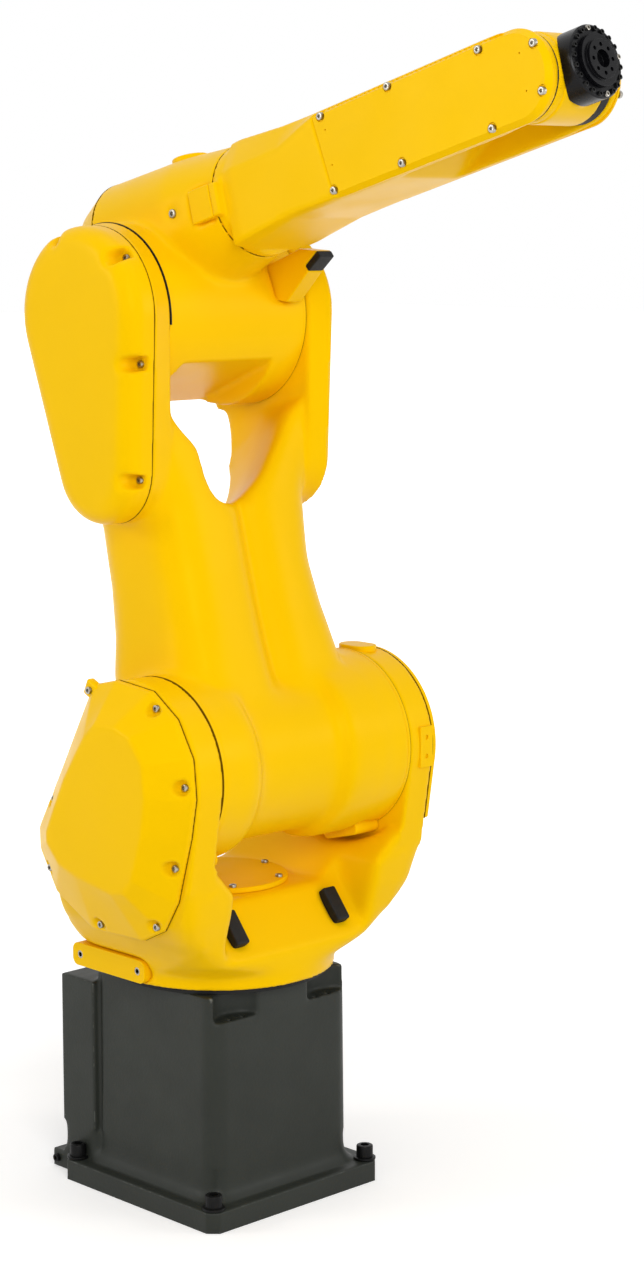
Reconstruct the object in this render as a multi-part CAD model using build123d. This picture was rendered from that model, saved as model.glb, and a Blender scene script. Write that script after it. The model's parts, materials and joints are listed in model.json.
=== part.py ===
from build123d import *
import math
import os

# Six-axis industrial robot arm. Millimetres, +Z up, +X forward.
# Origin: the first axis, at floor level.

# Pose of the two long links
ARM_LEAN = 14.6
FOREARM_RISE = 15.1

# Joint layout
RUN_GAP = 0.5
J1_SEAM_Z = 325.3
J2_X = 76.6
J2_Z = 636.1
ARM_LENGTH = 621.6
J4_RISE = 111.6
J4_SEAM_X = 197.8
J5_X = 741.5
FLANGE_X = 824.0

# Base
PLATE_SIDE = 327.6
PLATE_HEIGHT = 30.0
PLATE_CHAMFER = 13.0
BASE_BOLT_SPACING = 293.2
BASE_BOLT_BORE = 18.0
TONGUE_LENGTH = 50.0
TONGUE_WIDTH = 280.0
TONGUE_HEIGHT = 26.0
BASE_TOP_Z = 318.0
COLUMN_SIDE = 268.0
COLUMN_CORNER = 28.0
COLUMN_DRAFT = 0.6
SKIRT_WIDTH = 12.0
GROOVE_WIDTH = 9.0
GROOVE_DEPTH = 7.0
REAR_BOX_BACK = 190.0
REAR_BOX_FRONT = 118.0
REAR_BOX_WIDTH = 276.0
REAR_PANEL_WIDTH = 216.0
REAR_PANEL_HEIGHT = 190.0
REAR_PANEL_THICKNESS = 6.0
REAR_PANEL_Z = 170.0
REAR_BOX_TOP_Z = 295.0
NOTCH_RADIUS = 43.5
NOTCH_X = 147.0
NOTCH_Y = 88.0
NOTCH_LEDGE_Z = 283.0
SEAL_RADIUS = 154.0
SEAL_BORE = 60.0

# Turntable and shoulder yoke
FOOT_RADIUS = 163.0
SHOULDER_RADIUS = 129.5
SHOULDER_WAIST_RADIUS = 113.0
DRUM_RIGHT_Y = -100.0
DRUM_LEFT_Y = 60.0
SHOULDER_HALF = 177.5
CHEEK_THICKNESS = 45.2
CHEEK_OUTER = SHOULDER_HALF + CHEEK_THICKNESS
CHEEK_FOOT_Z = 528.0
CHEEK_LOW_Z = 484.0
CHEEK_BACK = 104.0
CHEEK_FRONT = 186.0
TROUGH_FLOOR_Z = 445.0
TROUGH_FLOOR_HALF = 100.0
TROUGH_SIDE_Z = 522.0
ARM_CLEARANCE = 8.0
DECK_EDGE_X = 106.0
SLOPE_LOW_X = 162.0
SLOPE_LOW_Z = 376.0
SLOPE_HALF = 132.0
CAP_RADIUS = 97.0
CAP_HEIGHT = 8.0
BUMPER_Y = 96.0
BUMPER_Z = 412.0
BUMPER_WIDTH = 24.0
BUMPER_HEIGHT = 52.0
BUMPER_DEPTH = 20.0
LUG_LENGTH = 156.0
LUG_X = -48.0
LUG_FACE_Y = -168.0
LUG_DEPTH = 60.0
LUG_BOTTOM_Z = 327.0
LUG_HEIGHT = 33.0
LUG_HOLE = 11.0
LUG_HOLE_SPACING = 124.0
LUG_HOLE_DEPTH = 22.0
SHOULDER_COVER_DEPTH = 50.0
SHOULDER_COVER_RIM = 8.0
MOTOR_BOSS_DEPTH = 78.0
GEAR_COVER_THICKNESS = 8.0
GEAR_COVER_INSET = 1.0
TURNTABLE_BACK_PROUD = 2.0
TURNTABLE_BACK_DEPTH = 46.0
TURNTABLE_BACK_Z = 388.0
TURNTABLE_BACK_CORNER = 8.0
TURNTABLE_BACK_WIDTH = 190.0
TURNTABLE_BACK_HEIGHT = 62.0
PAD_WIDTH = 24.0
PAD_INSET = 3.0
PAD_HEIGHT = 58.0
PAD_THICKNESS = 1.5
PAD_HOLE = 7.0
PAD_HOLE_SPACING = 27.0
BOSS_LENGTH = 60.0
BOSS_WIDTH = 40.0
BOSS_HEIGHT = 4.0
BOSS_SINK = 6.0

# Lower arm, drawn upright from the shoulder axis
ELBOW_RADIUS = 127.3
PRONG_RADIUS = 119.0
PRONG_SHIFT = 28.0
PRONG_RIM_RADIUS = 130.5
PRONG_INNER = 126.9
PRONG_OUTER = 168.0
PRONG_LEFT_OUTER = 160.0
PRONG_LOW_RADIUS = 79.0
PRONG_LOW_SHIFT = 8.0
PRONG_LOW_Z = 418.0
PRONG_RIM_LOW_RADIUS = 72.0
ELBOW_GEAR_INSET = 8.0
ELBOW_COVER_DEPTH = 46.0
ELBOW_COVER_ROUND = 26.0
STOP_WIDTH = 46.0
STOP_LENGTH = 70.0
STOP_DROP = 9.0
ARM_BOSS_RADIUS = 10.0
ARM_BOSS_HEIGHT = 8.0
ARM_BOSS_Z = 203.0
WINDOW_FLOOR_Z = 346.0
WINDOW_RISE = 109.0
WINDOW_FRONT_X = 60.0
WINDOW_BACK_X = -95.0

# Elbow casting, drawn along the forearm from the elbow axis
TRUNK_BACK_X = -56.0
TRUNK_MID_X = 100.0
TRUNK_TOP_Z = 206.0
TRUNK_HALF_WIDTH = 80.0
TRUNK_MID_TOP_Z = 199.0
TRUNK_MID_LOW_Z = 14.0
TRUNK_MID_HALF_WIDTH = 85.0
TRUNK_CORNER = 76.0
J4_RADIUS = 78.0
FACET_DISTANCE = 97.0
FACET_TURN = -82.0
FACET_RIGHT_Y = -60.0
FACET_LEFT_Y = 76.0
REAR_CAP_LENGTH = 62.0
REAR_CAP_WIDTH = 112.0
REAR_CAP_HEIGHT = 112.0
REAR_CAP_CORNER = 52.0
REAR_CAP_Z = 127.0
REAR_CAP_ROUND = 16.0
SIDE_BLOCK_LENGTH = 42.0
SIDE_BLOCK_HEIGHT = 45.0
SIDE_BLOCK_DEPTH = 6.0
BRACKET_Y = 76.0
BRACKET_WIDTH = 28.0

# Forearm
COLLAR_LENGTH = 14.0
SHAFT_X = 400.0
SHAFT_LOW_Z = 54.0
SHAFT_HIGH_Z = 175.0
SHAFT_HALF_WIDTH = 70.0
COVER_START_X = 406.0
COVER_SLANT = 15.0
COVER_LOW_Z = 57.0
COVER_HIGH_Z = 168.0
INDEX_LENGTH = 14.0
FOREARM_COVER_THICKNESS = 8.0
FORK_GAP_HALF = 50.2
FORK_ROOT_X = 604.0
FORK_END_RADIUS = 55.0
COVER_END_CHAMFER = 6.0
FORK_TAPER_X = 700.0
RAMP_LENGTH = 90.0
RAMP_DEPTH = 40.0

# Wrist and tool flange
KNUCKLE_RADIUS = 55.0
NECK_RADIUS = 44.5
HOUSING_X = 779.0
HOUSING_RADIUS = 45.5
HOUSING_END_X = 813.0
HOUSING_EDGE = 2.0
WRIST_SEAL_RADIUS = 53.5
WRIST_SEAL_THICKNESS = 13.0
FLANGE_SHOULDER_RADIUS = 32.5
FLANGE_SHOULDER_LENGTH = 6.0
FLANGE_RADIUS = 24.5
FLANGE_BORE = 22.0
FLANGE_BORE_DEPTH = 10.0
FLANGE_BOLT_CIRCLE = 35.0
FLANGE_BOLT_HOLE = 5.0
FLANGE_BOLT_COUNT = 8
FLANGE_HOLE_DEPTH = 9.0

# Hand-chosen outlines, as shares of the sizes above
# Bowl of the turntable: height between the seam and the shoulder axis, back and front per foot radius,
# side between the foot and the cheek, and corner per foot radius
BOWL_SHARES = (
    (0.063, -1.0, 1.0, 0.0, 0.985),
    (0.134, -0.93, 1.0, 0.09, 0.40),
    (0.222, -0.81, 1.01, 0.42, 0.24),
    (0.285, -0.72, 1.03, 0.70, 0.16),
    (0.365, -0.67, 1.08, 0.90, 0.12),
    (0.515, -0.62, 1.14, 1.0, 0.09),
)
# Shoulder motor cover, in x and z from the shoulder axis, per shoulder radius
COVER_SEAM_SHARES = (
    (-0.20, 0.985), (0.35, 0.935), (0.72, 0.69), (0.95, 0.31), (0.99, -0.10), (0.91, -0.52),
    (0.71, -1.21), (0.50, -1.55), (0.18, -1.71), (-0.62, -1.73), (-1.22, -1.43), (-1.49, -1.0),
    (-1.50, -0.76), (-1.05, 0.02), (-0.83, 0.42), (-0.56, 0.90),
)
COVER_FACE_SHARES = (
    (-0.18, 0.56), (0.12, 0.57), (0.38, 0.50), (0.58, 0.26), (0.62, -0.10), (0.56, -0.50),
    (0.40, -0.98), (0.26, -1.14), (0.05, -1.17), (-0.50, -1.08), (-0.78, -1.0), (-0.98, -0.80),
    (-0.98, -0.68), (-0.68, -0.08), (-0.51, 0.17), (-0.34, 0.41),
)
# Columns of the lower arm: height per arm length, then back, front, right, left and corner
# per shoulder radius
RIGHT_COLUMN_SHARES = (
    (0.0, -0.80, 0.78, -1.30, 0.05, 0.42),
    (0.22, -0.96, 0.66, -1.20, 0.05, 0.44),
    (0.31, -0.90, 0.62, -1.13, 0.06, 0.44),
    (0.42, -0.85, 0.58, -1.09, 0.07, 0.42),
    (0.56, -0.77, 0.60, -1.12, 0.04, 0.40),
    (0.70, -0.74, 0.66, -1.297, -0.42, 0.34),
    (0.80, -0.70, 0.70, -1.297, -0.98, 0.12),
)
LEFT_COLUMN_SHARES = (
    (0.0, -0.76, 0.76, -0.05, 1.22, 0.42),
    (0.19, -0.80, 0.64, -0.05, 1.11, 0.44),
    (0.31, -0.76, 0.58, -0.05, 1.04, 0.44),
    (0.42, -0.73, 0.57, -0.05, 0.97, 0.42),
    (0.56, -0.72, 0.58, -0.03, 1.03, 0.40),
    (0.70, -0.72, 0.62, 0.42, 1.235, 0.34),
    (0.80, -0.70, 0.70, 0.98, 1.235, 0.12),
)
# Window between the prongs, at its front and at its back: y per prong face, height per window rise
WINDOW_FRONT_SHARES = (
    (-1.0, 1.42), (-1.0, 1.32), (-0.875, 1.08), (-0.79, 0.95), (-0.67, 0.815), (-0.575, 0.705),
    (-0.545, 0.43), (-0.495, 0.23), (-0.395, 0.055), (-0.28, 0.0), (-0.19, 0.0), (0.01, 0.065),
    (0.31, 0.305), (0.615, 0.745), (0.82, 1.09), (1.0, 1.25), (1.0, 1.42),
)
WINDOW_BACK_SHARES = (
    (-1.04, 1.42), (-1.04, 1.32), (-1.0, 1.08), (-0.97, 0.95), (-0.95, 0.815), (-0.93, 0.705),
    (-0.91, 0.43), (-0.88, 0.23), (-0.79, 0.055), (-0.5, 0.0), (0.5, 0.0), (0.80, 0.065),
    (0.91, 0.305), (0.98, 0.60), (1.05, 0.80), (1.06, 1.25), (1.06, 1.42),
)
# Slanted end of the elbow's flat, per elbow radius
FACET_SLANT_SHARE = 0.12
# Bracket and bumper under the elbow, in x and z per elbow radius
BRACKET_SHARES = ((0.62, 0.30), (0.80, 0.0), (0.95, -0.063), (1.115, -0.126), (1.524, 0.11), (1.49, 0.18),
                  (1.71, 0.29), (1.45, 0.38))
BUMPER_SHARES = ((1.524, 0.11), (1.744, 0.216), (1.71, 0.29), (1.49, 0.18))
# Faceted rear of the forearm: place between collar and shaft, then underside, side foot, side top and top
# per height from the forearm's axis to the shaft's top, and underside, side and top half widths
# per shaft half width
FACET_SHARES = (
    (0.0, -1.14, -1.04, 0.50, 1.16, 0.60, 1.02, 0.60),
    (0.12, -1.10, -1.00, 0.50, 1.16, 0.78, 1.06, 0.64),
    (0.60, -0.92, -0.84, 0.50, 1.02, 0.88, 1.03, 0.76),
    (1.0, -0.91, -0.86, 0.89, 1.0, 0.80, 1.0, 0.72),
)
# The motor boss narrows toward the yoke to this share of the cover's seam
MOTOR_BOSS_SHARE = 0.78

OUT = "parts"
FAR = PLATE_SIDE * 4
os.makedirs(OUT, exist_ok=True)


def outline(points):
    """A closed outline through the points, always wound the same way."""
    pairs = zip(points, points[1:] + points[:1])
    area = sum(a[0] * b[1] - b[0] * a[1] for a, b in pairs)
    ordered = points if area > 0 else points[::-1]
    return Polygon(*ordered, align=None)


def side_prism(face, y_low, y_high):
    """An outline drawn in x and z, carried from one y to another."""
    plane = Plane(origin=(0, y_high, 0), x_dir=(1, 0, 0), z_dir=(0, -1, 0))
    return extrude(plane * face, y_high - y_low)


def front_plane(x):
    """The plane across the machine at one x, drawn in y and z."""
    return Plane(origin=(x, 0, 0), x_dir=(0, 1, 0), z_dir=(1, 0, 0))


def front_prism(face, x_low, x_high):
    """An outline drawn in y and z, carried from one x to another."""
    return extrude(front_plane(x_low) * face, x_high - x_low)


def plan_prism(face, z_low, z_high):
    """An outline drawn in x and y, carried from one height to another."""
    return extrude(Pos(0, 0, z_low) * face, z_high - z_low)


def block(x_low, x_high, y_low, y_high, z_low, z_high):
    """A plain block between six planes."""
    solid = Box(x_high - x_low, y_high - y_low, z_high - z_low)
    return Pos((x_low + x_high) / 2, (y_low + y_high) / 2, (z_low + z_high) / 2) * solid


def disc_y(radius, y_low, y_high, x, z):
    """A cylinder lying across the machine."""
    return side_prism(Pos(x, z) * Circle(radius), y_low, y_high)


def disc_x(radius, x_low, x_high, z):
    """A cylinder lying along the forearm."""
    return front_prism(Pos(0, z) * Circle(radius), x_low, x_high)


def rounded(low_a, high_a, low_b, high_b, corner):
    """A rounded rectangle between two pairs of limits."""
    face = RectangleRounded(high_a - low_a, high_b - low_b, corner)
    return Pos((low_a + high_a) / 2, (low_b + high_b) / 2) * face


def place_arm(shape):
    """Lean the lower arm back on the shoulder axis."""
    return Pos(J2_X, 0, J2_Z) * Rot(0, -ARM_LEAN, 0) * shape


def elbow_point():
    """The elbow axis in the leaning arm."""
    lean = math.radians(ARM_LEAN)
    return J2_X - ARM_LENGTH * math.sin(lean), J2_Z + ARM_LENGTH * math.cos(lean)


def place_forearm(shape):
    """Raise the forearm on the elbow axis."""
    x, z = elbow_point()
    return Pos(x, 0, z) * Rot(0, -FOREARM_RISE, 0) * shape


# Base

def base_casting():
    plate_face = chamfer(Rectangle(PLATE_SIDE, PLATE_SIDE).vertices(), PLATE_CHAMFER)
    plate = plan_prism(plate_face, 0, PLATE_HEIGHT)
    half = PLATE_SIDE / 2
    tongue = block(-half - TONGUE_LENGTH, 0, -TONGUE_WIDTH / 2, TONGUE_WIDTH / 2, 0, TONGUE_HEIGHT)
    column_face = RectangleRounded(COLUMN_SIDE, COLUMN_SIDE, COLUMN_CORNER)
    column = extrude(column_face, BASE_TOP_Z, taper=COLUMN_DRAFT)
    skirt_face = offset(column_face, SKIRT_WIDTH)
    skirt = extrude(Pos(0, 0, PLATE_HEIGHT) * skirt_face, SKIRT_WIDTH, taper=45)
    box_half = REAR_BOX_WIDTH / 2
    rear = block(-REAR_BOX_BACK, -REAR_BOX_FRONT, -box_half, box_half, 0, REAR_BOX_TOP_Z)
    body = plate + tongue + column + skirt + rear
    for side in (-1, 1):
        body -= notch(side)
        body -= side_groove(side)
    for x, y in corner_points(BASE_BOLT_SPACING):
        body -= Pos(x, y, PLATE_HEIGHT / 2) * Cylinder(BASE_BOLT_BORE / 2, PLATE_HEIGHT * 2)
    return body


def notch(side):
    """The round pocket cut into a top front corner of the base."""
    return plan_prism(Pos(NOTCH_X, side * NOTCH_Y) * Circle(NOTCH_RADIUS), NOTCH_LEDGE_Z, FAR)


def side_groove(side):
    """The upright groove between the column and the rear box."""
    inner = COLUMN_SIDE / 2 - GROOVE_DEPTH
    y_low, y_high = sorted((side * inner, side * FAR))
    return block(-REAR_BOX_FRONT, -REAR_BOX_FRONT + GROOVE_WIDTH, y_low, y_high,
                 PLATE_HEIGHT + SKIRT_WIDTH, FAR)


def corner_points(spacing):
    """The four corners of a centred square."""
    return [(sx * spacing / 2, sy * spacing / 2) for sx in (-1, 1) for sy in (-1, 1)]


def base_rear_panel():
    face = rounded(-REAR_PANEL_WIDTH / 2, REAR_PANEL_WIDTH / 2, REAR_PANEL_Z - REAR_PANEL_HEIGHT / 2,
                   REAR_PANEL_Z + REAR_PANEL_HEIGHT / 2, REAR_PANEL_THICKNESS)
    return front_prism(face, -REAR_BOX_BACK - REAR_PANEL_THICKNESS, -REAR_BOX_BACK)


def base_seal():
    ring = Circle(SEAL_RADIUS) - Circle(SEAL_BORE)
    return plan_prism(ring, BASE_TOP_Z, J1_SEAM_Z)


# Turntable

def cheek_outline():
    """The cheek seen from the side, from the bowl up round the shoulder axis."""
    hub = Pos(J2_X, J2_Z) * Circle(SHOULDER_RADIUS)
    foot = rounded(-CHEEK_BACK, CHEEK_FRONT, CHEEK_LOW_Z, CHEEK_FOOT_Z, PLATE_CHAMFER)
    return make_hull(hub.edges() + foot.edges())


def bowl():
    """The bowl that opens from the round foot to the yoke."""
    sections = []
    for height, back, front, side, corner in BOWL_SHARES:
        half = FOOT_RADIUS + side * (CHEEK_OUTER - FOOT_RADIUS)
        face = rounded(back * FOOT_RADIUS, front * FOOT_RADIUS, -half, half, corner * FOOT_RADIUS)
        sections.append(Pos(0, 0, J1_SEAM_Z + height * (J2_Z - J1_SEAM_Z)) * face)
    return loft(sections, ruled=True)


def motor_boss():
    """The boss behind the shoulder motor cover, narrowing toward the yoke."""
    inner = [(x * MOTOR_BOSS_SHARE, z * MOTOR_BOSS_SHARE) for x, z in COVER_SEAM_SHARES]
    y = -CHEEK_OUTER
    return loft([right_plane(y) * scaled_outline(COVER_SEAM_SHARES),
                 right_plane(y + MOTOR_BOSS_DEPTH) * scaled_outline(inner)], ruled=True)


def yoke_space():
    """The space between the cheeks, over the deck and the sloped front."""
    trough = outline([(-TROUGH_FLOOR_HALF, TROUGH_FLOOR_Z), (TROUGH_FLOOR_HALF, TROUGH_FLOOR_Z),
                      (SHOULDER_HALF, TROUGH_SIDE_Z), (SHOULDER_HALF, FAR),
                      (-SHOULDER_HALF, FAR), (-SHOULDER_HALF, TROUGH_SIDE_Z)])
    slope = outline([(DECK_EDGE_X, TROUGH_FLOOR_Z), (SLOPE_LOW_X, SLOPE_LOW_Z), (FAR, SLOPE_LOW_Z),
                     (FAR, FAR), (DECK_EDGE_X, FAR)])
    swing = SHOULDER_RADIUS + STOP_DROP + ARM_CLEARANCE
    space = front_prism(trough, -FAR, FAR) + side_prism(slope, -SLOPE_HALF, SLOPE_HALF)
    return space + disc_y(swing, -SHOULDER_HALF, SHOULDER_HALF, J2_X, J2_Z)


def turntable_column():
    foot_top = J1_SEAM_Z + BOWL_SHARES[0][0] * (J2_Z - J1_SEAM_Z)
    foot = plan_prism(Circle(FOOT_RADIUS), J1_SEAM_Z + RUN_GAP, foot_top)
    yoke = side_prism(cheek_outline(), -CHEEK_OUTER, CHEEK_OUTER)
    body = foot + bowl() + yoke + motor_boss()
    body -= yoke_space()
    body -= lug_block()
    body -= turntable_back()
    for side in (-1, 1):
        body -= front_bumper(side)
    return body - shoulder_boss()


def lug_block():
    """The lug before it is drilled."""
    face = rounded(LUG_X - LUG_LENGTH / 2, LUG_X + LUG_LENGTH / 2, LUG_BOTTOM_Z,
                   LUG_BOTTOM_Z + LUG_HEIGHT, LUG_HEIGHT / 3)
    return side_prism(face, LUG_FACE_Y, LUG_FACE_Y + LUG_DEPTH)


def side_lug():
    lug = lug_block()
    z = LUG_BOTTOM_Z + LUG_HEIGHT / 2
    for side in (-1, 1):
        x = LUG_X + side * LUG_HOLE_SPACING / 2
        lug -= disc_y(LUG_HOLE / 2, LUG_FACE_Y - LUG_HOLE, LUG_FACE_Y + LUG_HOLE_DEPTH, x, z)
    return lug


def scaled_outline(shares):
    """A side outline round the shoulder axis from its shares."""
    points = [(J2_X + x * SHOULDER_RADIUS, J2_Z + z * SHOULDER_RADIUS) for x, z in shares]
    return outline(points)


def right_plane(y):
    """The plane along the machine at one y, drawn in x and z, facing the right side."""
    return Plane(origin=(0, y, 0), x_dir=(1, 0, 0), z_dir=(0, -1, 0))


def shoulder_motor_cover():
    rim = -CHEEK_OUTER - SHOULDER_COVER_RIM
    face = -CHEEK_OUTER - SHOULDER_COVER_DEPTH
    flange = extrude(right_plane(-CHEEK_OUTER) * scaled_outline(COVER_SEAM_SHARES), SHOULDER_COVER_RIM)
    return flange + loft([right_plane(rim) * scaled_outline(COVER_SEAM_SHARES),
                          right_plane(face) * scaled_outline(COVER_FACE_SHARES)], ruled=True)


def shoulder_gear_cover():
    face = offset(cheek_outline(), -GEAR_COVER_INSET)
    cover = side_prism(face, CHEEK_OUTER, CHEEK_OUTER + GEAR_COVER_THICKNESS)
    return cover & block(-FAR, FAR, CHEEK_OUTER, FAR, CHEEK_FOOT_Z, FAR)


def turntable_cap():
    return plan_prism(Circle(CAP_RADIUS), TROUGH_FLOOR_Z, TROUGH_FLOOR_Z + CAP_HEIGHT)


def turntable_back():
    half = TURNTABLE_BACK_HEIGHT / 2
    face = rounded(-TURNTABLE_BACK_WIDTH / 2, TURNTABLE_BACK_WIDTH / 2, TURNTABLE_BACK_Z - half,
                   TURNTABLE_BACK_Z + half, TURNTABLE_BACK_CORNER)
    x = -FOOT_RADIUS - TURNTABLE_BACK_PROUD
    return front_prism(face, x, x + TURNTABLE_BACK_DEPTH)


def front_bumper(side):
    """A rubber bumper lying on the sloped front face."""
    run = SLOPE_LOW_X - DECK_EDGE_X
    drop = TROUGH_FLOOR_Z - SLOPE_LOW_Z
    x = DECK_EDGE_X + (TROUGH_FLOOR_Z - BUMPER_Z) * run / drop
    body = Box(BUMPER_DEPTH, BUMPER_WIDTH, BUMPER_HEIGHT)
    return Pos(x, side * BUMPER_Y, BUMPER_Z) * Rot(0, -math.degrees(math.atan2(run, drop)), 0) * body


def shoulder_pad():
    x = J2_X + SHOULDER_RADIUS
    half = PAD_HEIGHT / 2
    y_high = CHEEK_OUTER - PAD_INSET
    pad = block(x - PAD_WIDTH, x + PAD_THICKNESS, y_high - PAD_WIDTH, y_high, J2_Z - half, J2_Z + half)
    pad -= disc_y(SHOULDER_RADIUS, CHEEK_OUTER - PAD_WIDTH * 2, CHEEK_OUTER + PAD_WIDTH, J2_X, J2_Z)
    pad -= side_prism(cheek_outline(), CHEEK_OUTER - PAD_WIDTH * 2, CHEEK_OUTER + PAD_WIDTH)
    y = y_high - PAD_WIDTH / 2
    for side in (-1, 1):
        hole = Rot(0, 90, 0) * Cylinder(PAD_HOLE / 2, PAD_WIDTH)
        pad -= Pos(x + PAD_THICKNESS, y, J2_Z + side * PAD_HOLE_SPACING / 2) * hole
    return pad


def shoulder_boss():
    z = J2_Z + SHOULDER_RADIUS
    face = SlotOverall(BOSS_LENGTH, BOSS_WIDTH)
    y = SHOULDER_HALF + CHEEK_THICKNESS / 2
    return Pos(J2_X, y, 0) * plan_prism(face, z - BOSS_SINK, z + BOSS_HEIGHT)


# Lower arm

def prong_outline():
    """The outer face of a prong seen from the side, from the elbow downward."""
    top = Pos(PRONG_SHIFT, ARM_LENGTH) * Circle(PRONG_RADIUS)
    low = Pos(PRONG_LOW_SHIFT, PRONG_LOW_Z) * Circle(PRONG_LOW_RADIUS)
    return make_hull(top.edges() + low.edges())


def prong_rim():
    """The inner face of a prong, round the elbow axis."""
    top = Pos(0, ARM_LENGTH) * Circle(PRONG_RIM_RADIUS)
    low = Pos(PRONG_LOW_SHIFT, PRONG_LOW_Z) * Circle(PRONG_RIM_LOW_RADIUS)
    return make_hull(top.edges() + low.edges())


def prong(side, outer):
    """A prong that widens from the rim beside the elbow to the face under its cover."""
    return loft([right_plane(side * PRONG_INNER) * prong_rim(), right_plane(side * outer) * prong_outline()],
                ruled=True)


def column(shares):
    """One of the twin columns of the lower arm."""
    sections = []
    for share in shares:
        z = share[0] * ARM_LENGTH
        back, front, right, left, corner = [value * SHOULDER_RADIUS for value in share[1:]]
        sections.append(Pos(0, 0, z) * rounded(back, front, right, left, corner))
    return loft(sections, ruled=True)


def window_face(shares):
    """The opening between the prongs, seen from the front."""
    return outline([(y * PRONG_INNER, WINDOW_FLOOR_Z + z * WINDOW_RISE) for y, z in shares])


def window_cut():
    """The opening between the prongs, scooped wider toward the back."""
    front = window_face(WINDOW_FRONT_SHARES)
    back = window_face(WINDOW_BACK_SHARES)
    scoop = loft([front_plane(WINDOW_BACK_X) * back, front_plane(WINDOW_FRONT_X) * front], ruled=True)
    return front_prism(front, WINDOW_FRONT_X, FAR) + scoop + front_prism(back, -FAR, WINDOW_BACK_X)


def lower_arm_casting():
    half = SHOULDER_HALF - RUN_GAP
    body = disc_y(SHOULDER_WAIST_RADIUS, -half, half, 0, 0)
    body += disc_y(SHOULDER_RADIUS, -half, DRUM_RIGHT_Y, 0, 0)
    body += disc_y(SHOULDER_RADIUS, DRUM_LEFT_Y, half, 0, 0)
    body += column(RIGHT_COLUMN_SHARES)
    body += column(LEFT_COLUMN_SHARES)
    body += prong(-1, PRONG_OUTER)
    body += prong(1, PRONG_LEFT_OUTER)
    body -= window_cut()
    for side in (-1, 1):
        body -= arm_stop(side)
    return body - arm_boss()


def arm_stop(side):
    """The ledge under the shoulder hub that meets the bumpers."""
    low = SHOULDER_RADIUS + STOP_DROP
    y = SHOULDER_HALF - RUN_GAP - STOP_WIDTH / 2
    face = rounded(-STOP_LENGTH / 2, STOP_LENGTH / 2, -low, -SHOULDER_RADIUS + STOP_DROP * 2, STOP_DROP)
    return side_prism(face, side * y - STOP_WIDTH / 2, side * y + STOP_WIDTH / 2)


def arm_boss():
    y = LEFT_COLUMN_SHARES[2][4] * SHOULDER_RADIUS
    return disc_y(ARM_BOSS_RADIUS, y - ARM_BOSS_HEIGHT * 2, y + ARM_BOSS_HEIGHT, 0, ARM_BOSS_Z)


def elbow_motor_cover():
    cover = side_prism(prong_outline(), -PRONG_OUTER - ELBOW_COVER_DEPTH, -PRONG_OUTER)
    rim = cover.faces().sort_by(Axis.Y)[0].edges()
    return fillet(rim, ELBOW_COVER_ROUND)


def elbow_gear_cover():
    face = offset(prong_outline(), -ELBOW_GEAR_INSET)
    return side_prism(face, PRONG_LEFT_OUTER, PRONG_LEFT_OUTER + GEAR_COVER_THICKNESS)


# Elbow

def trunk_section(x, half, low, high, corner):
    return front_plane(x) * rounded(-half, half, low, high, corner)


def facet_cut():
    """The flat milled under the elbow hub, with a slanted right end."""
    slant = FACET_SLANT_SHARE * ELBOW_RADIUS
    face = outline([(FACET_RIGHT_Y, ELBOW_RADIUS), (FACET_LEFT_Y, ELBOW_RADIUS),
                    (FACET_LEFT_Y, -ELBOW_RADIUS), (-PRONG_INNER, -ELBOW_RADIUS), (-PRONG_INNER, slant)])
    return front_prism(face, FACET_DISTANCE, FAR)


def elbow_casting():
    half = PRONG_INNER - RUN_GAP
    hub = disc_y(ELBOW_RADIUS, -half, half, 0, 0)
    back = trunk_section(TRUNK_BACK_X, TRUNK_HALF_WIDTH, 0, TRUNK_TOP_Z, TRUNK_CORNER)
    mid = trunk_section(TRUNK_MID_X, TRUNK_MID_HALF_WIDTH, TRUNK_MID_LOW_Z, TRUNK_MID_TOP_Z, TRUNK_CORNER)
    front = trunk_section(J4_SEAM_X, J4_RADIUS, J4_RISE - J4_RADIUS, J4_RISE + J4_RADIUS,
                          J4_RADIUS - RUN_GAP)
    body = hub + loft([back, mid, front], ruled=True)
    body -= Rot(0, -FACET_TURN, 0) * facet_cut()
    body -= elbow_side_block()
    return body - elbow_bracket()


def elbow_rear_cover():
    back = trunk_section(TRUNK_BACK_X, TRUNK_HALF_WIDTH, 0, TRUNK_TOP_Z, TRUNK_CORNER)
    high = REAR_CAP_HEIGHT / 2
    end = trunk_section(TRUNK_BACK_X - REAR_CAP_LENGTH, REAR_CAP_WIDTH / 2, REAR_CAP_Z - high,
                        REAR_CAP_Z + high, REAR_CAP_CORNER)
    cap = loft([end, back], ruled=True)
    cap = fillet(cap.faces().sort_by(Axis.X)[0].edges(), REAR_CAP_ROUND)
    half = PRONG_INNER - RUN_GAP
    return cap - disc_y(ELBOW_RADIUS, -half, half, 0, 0)


def elbow_side_block():
    """The step beside the forearm seam."""
    low = J4_RISE - SIDE_BLOCK_HEIGHT / 2
    y = -J4_RADIUS - SIDE_BLOCK_DEPTH
    return block(J4_SEAM_X - SIDE_BLOCK_LENGTH, J4_SEAM_X, y, y + SIDE_BLOCK_DEPTH * 3,
                 low, low + SIDE_BLOCK_HEIGHT)


def elbow_shape(shares):
    """A plate beside the elbow from its side outline."""
    points = [(x * ELBOW_RADIUS, z * ELBOW_RADIUS) for x, z in shares]
    return side_prism(outline(points), BRACKET_Y, BRACKET_Y + BRACKET_WIDTH)


def elbow_bracket():
    return elbow_shape(BRACKET_SHARES)


def elbow_bumper():
    return elbow_shape(BUMPER_SHARES)


# Forearm

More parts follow.
